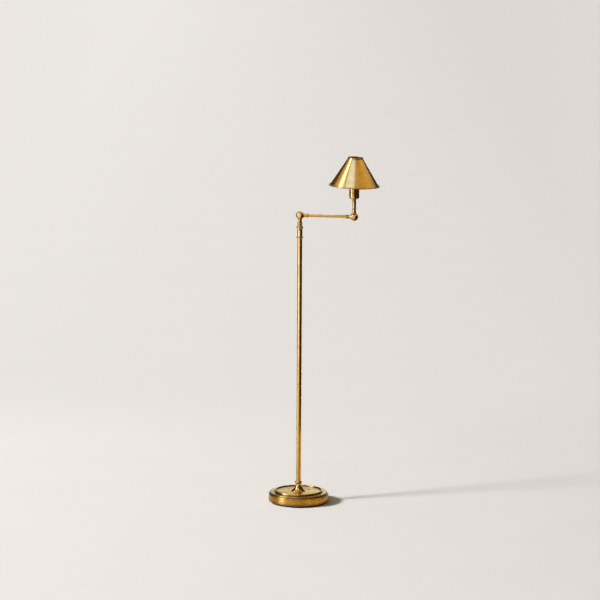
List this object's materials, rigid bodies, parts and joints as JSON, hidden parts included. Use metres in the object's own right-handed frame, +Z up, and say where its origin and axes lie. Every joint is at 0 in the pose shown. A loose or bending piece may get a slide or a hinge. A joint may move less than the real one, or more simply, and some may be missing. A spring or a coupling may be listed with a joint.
{
  "type": "floor lamp",
  "caption": "Brass bridge floor lamp: weighted round base, slim column, short level arm between ball joints, and a metal cone shade over an upright lampholder.",
  "frame": {"origin": "centre of the pad's underside, on the floor", "axes": "+Z up along the column; +X along the arm as it stands in the picture; +Y to the back, where the lead enters"},
  "size_m": [0.4419, 0.2426, 1.412],
  "materials": {
    "brass": "satin aged brass",
    "bronze": "plain bearing bronze",
    "steel": "zinc plated steel",
    "blackened_steel": "black painted sheet steel",
    "cast_iron": "black painted casting",
    "felt": "dark pressed felt",
    "rubber": "moulded rubber",
    "nylon": "natural nylon",
    "fibre": "vulcanised fibre",
    "ceramic": "unglazed porcelain",
    "aluminium": "bright rolled cap",
    "bulb_glass": "inside-frosted glass",
    "lead": "twin-core lead's sheath"
  },
  "bodies": {
    "stand": {"foot_pad": "felt", "cover_plate": "blackened_steel", "cover_screws": "steel", "base_weight": "cast_iron", "base_shell": "brass", "plate_screws": "brass", "cord_grommet": "rubber", "tie_tube": "steel", "tie_washer": "steel", "tie_nut": "steel", "column_foot": "brass", "column_plug": "brass", "column_tube": "brass", "column_collar": "brass", "swivel_bush": "bronze", "lead_column": "lead"},
    "swivel": {"swivel_shim": "nylon", "swivel_cap": "brass", "swivel_nipple": "steel", "swivel_washer": "steel", "swivel_nut": "steel", "swivel_stop_pin": "steel", "column_knuckle": "brass", "arm_pivot_screw": "brass", "arm_pivot_nut": "brass", "arm_spring_washer": "steel", "arm_friction_washer": "fibre", "arm_stop_pin": "steel", "lead_neck": "lead"},
    "arm": {"arm_knuckle_inner": "brass", "arm_tube": "brass", "arm_knuckle_outer": "brass", "lead_arm": "lead"},
    "head": {"head_knuckle": "brass", "head_pivot_screw": "brass", "head_pivot_nut": "brass", "head_spring_washer": "steel", "head_friction_washer": "fibre", "head_stop_pin": "steel", "stem": "brass", "holder_nipple": "steel", "holder_locknut": "steel", "holder_cup": "brass", "holder_shell": "brass", "holder_liner": "fibre", "holder_body": "ceramic", "holder_terminals": "brass", "holder_contact": "brass", "holder_screw_shell": "brass", "shade_ring_nuts": "brass", "shade_spider": "brass", "shade": "brass", "bulb_cap": "aluminium", "bulb_contact": "aluminium", "bulb_glass": "bulb_glass", "lead_head": "lead"}
  },
  "joints": [
    {"name": "arm_swing", "type": "hinge", "parent": "stand", "child": "swivel", "pos_m": [0, 0, 1.119], "axis": [0, 0, 1], "range_deg": [-165, 165]},
    {"name": "arm_tilt", "type": "hinge", "parent": "swivel", "child": "arm", "pos_m": [0, 0, 1.172], "axis": [0, -1, 0], "range_deg": [-20, 90]},
    {"name": "head_tilt", "type": "hinge", "parent": "arm", "child": "head", "pos_m": [0.2185, 0, 1.172], "axis": [0, 1, 0], "range_deg": [-20, 90]}
  ]
}
